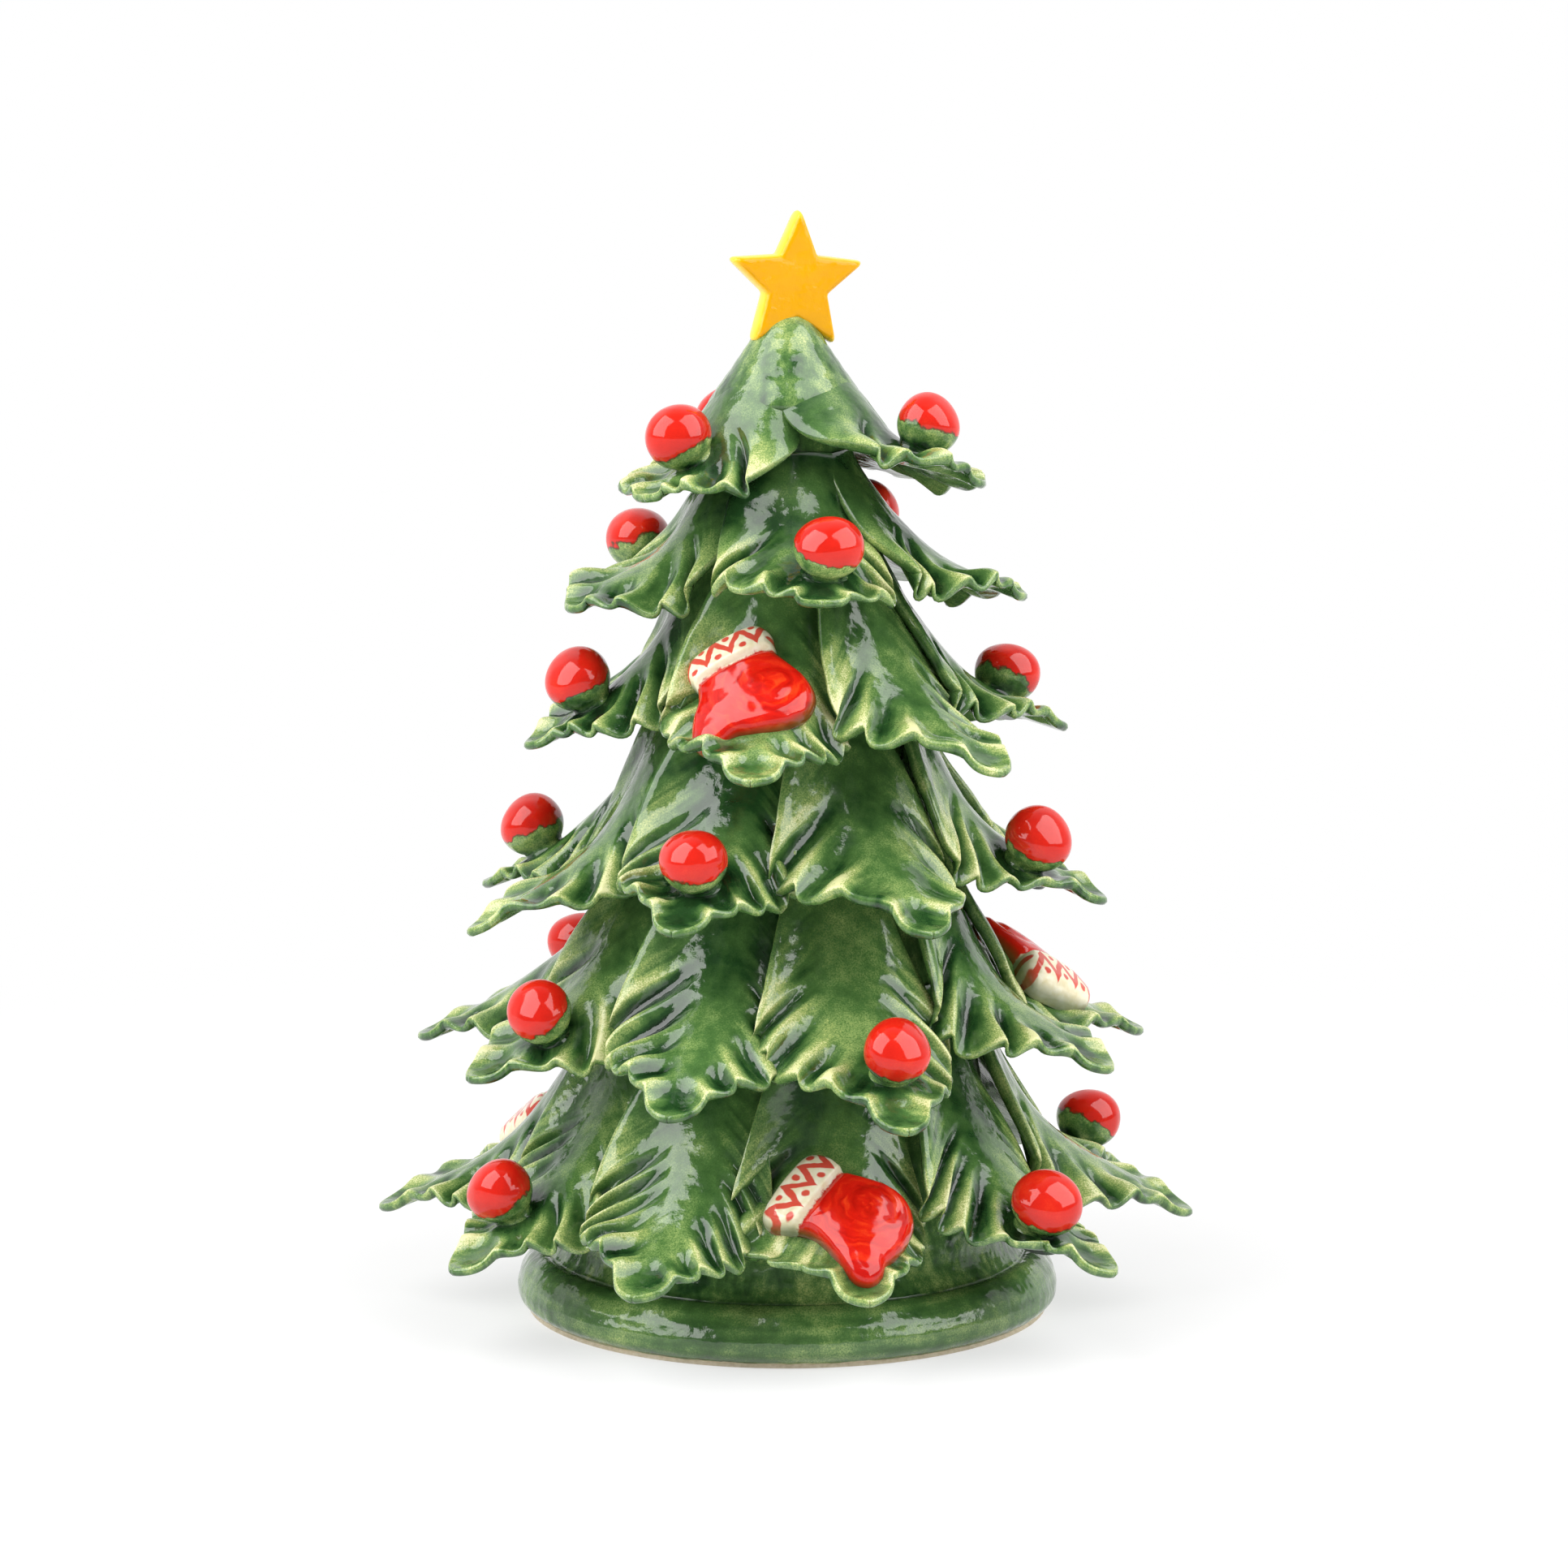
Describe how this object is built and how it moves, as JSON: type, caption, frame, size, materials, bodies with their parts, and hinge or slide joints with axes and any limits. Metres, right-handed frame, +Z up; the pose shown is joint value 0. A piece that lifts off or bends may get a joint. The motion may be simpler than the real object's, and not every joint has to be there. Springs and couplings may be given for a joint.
{
  "type": "ceramic christmas tree",
  "caption": "Glazed ceramic fir tree: hollow cone on a foot ring, tiers of scalloped leaves with baubles and stockings, and a star at the tip.",
  "frame": {"origin": "centre of the foot ring's tread, on the surface that the tree stands on", "axes": "+Z up along the cone, -Y towards the front, +X to the right seen from the front"},
  "size_m": [0.2082, 0.1947, 0.2795],
  "materials": {
    "green_glaze_leaf": "glossy green glaze that breaks to pale yellow-green on ridges and edges",
    "green_glaze_body": "glossy brushed green glaze",
    "green_glaze_foot": "glossy green glaze with a bare clay tread",
    "yellow_glaze": "glossy yellow glaze, paler on thin edges",
    "red_glaze": "glossy red glaze above, green below",
    "stocking_glaze": "glossy red glaze with a cream cuff painted with zigzag and dots"
  },
  "bodies": {
    "root": {"body_cone": "green_glaze_body", "foot_ring": "green_glaze_foot", "star": "yellow_glaze", "tier_1_baubles": "red_glaze", "tier_1_leaf_01": "green_glaze_leaf", "tier_1_leaf_02": "green_glaze_leaf", "tier_1_leaf_03": "green_glaze_leaf", "tier_1_leaf_04": "green_glaze_leaf", "tier_1_leaf_05": "green_glaze_leaf", "tier_1_leaf_06": "green_glaze_leaf", "tier_1_leaf_07": "green_glaze_leaf", "tier_1_leaf_08": "green_glaze_leaf", "tier_1_leaf_09": "green_glaze_leaf", "tier_1_leaf_10": "green_glaze_leaf", "tier_1_stocking_01": "stocking_glaze", "tier_1_stocking_05": "stocking_glaze", "tier_2_baubles": "red_glaze", "tier_2_leaf_01": "green_glaze_leaf", "tier_2_leaf_02": "green_glaze_leaf", "tier_2_leaf_03": "green_glaze_leaf", "tier_2_leaf_04": "green_glaze_leaf", "tier_2_leaf_05": "green_glaze_leaf", "tier_2_leaf_06": "green_glaze_leaf", "tier_2_leaf_07": "green_glaze_leaf", "tier_2_leaf_08": "green_glaze_leaf", "tier_2_leaf_09": "green_glaze_leaf", "tier_2_stocking_07": "stocking_glaze", "tier_3_baubles": "red_glaze", "tier_3_leaf_01": "green_glaze_leaf", "tier_3_leaf_02": "green_glaze_leaf", "tier_3_leaf_03": "green_glaze_leaf", "tier_3_leaf_04": "green_glaze_leaf", "tier_3_leaf_05": "green_glaze_leaf", "tier_3_leaf_06": "green_glaze_leaf", "tier_3_leaf_07": "green_glaze_leaf", "tier_3_leaf_08": "green_glaze_leaf", "tier_4_baubles": "red_glaze", "tier_4_leaf_01": "green_glaze_leaf", "tier_4_leaf_02": "green_glaze_leaf", "tier_4_leaf_03": "green_glaze_leaf", "tier_4_leaf_04": "green_glaze_leaf", "tier_4_leaf_05": "green_glaze_leaf", "tier_4_leaf_06": "green_glaze_leaf", "tier_4_leaf_07": "green_glaze_leaf", "tier_4_stocking_04": "stocking_glaze", "tier_5_baubles": "red_glaze", "tier_5_leaf_01": "green_glaze_leaf", "tier_5_leaf_02": "green_glaze_leaf", "tier_5_leaf_03": "green_glaze_leaf", "tier_5_leaf_04": "green_glaze_leaf", "tier_5_leaf_05": "green_glaze_leaf", "tier_6_baubles": "red_glaze", "tier_6_leaf_01": "green_glaze_leaf", "tier_6_leaf_02": "green_glaze_leaf", "tier_6_leaf_03": "green_glaze_leaf", "tier_6_leaf_04": "green_glaze_leaf"}
  },
  "joints": []
}
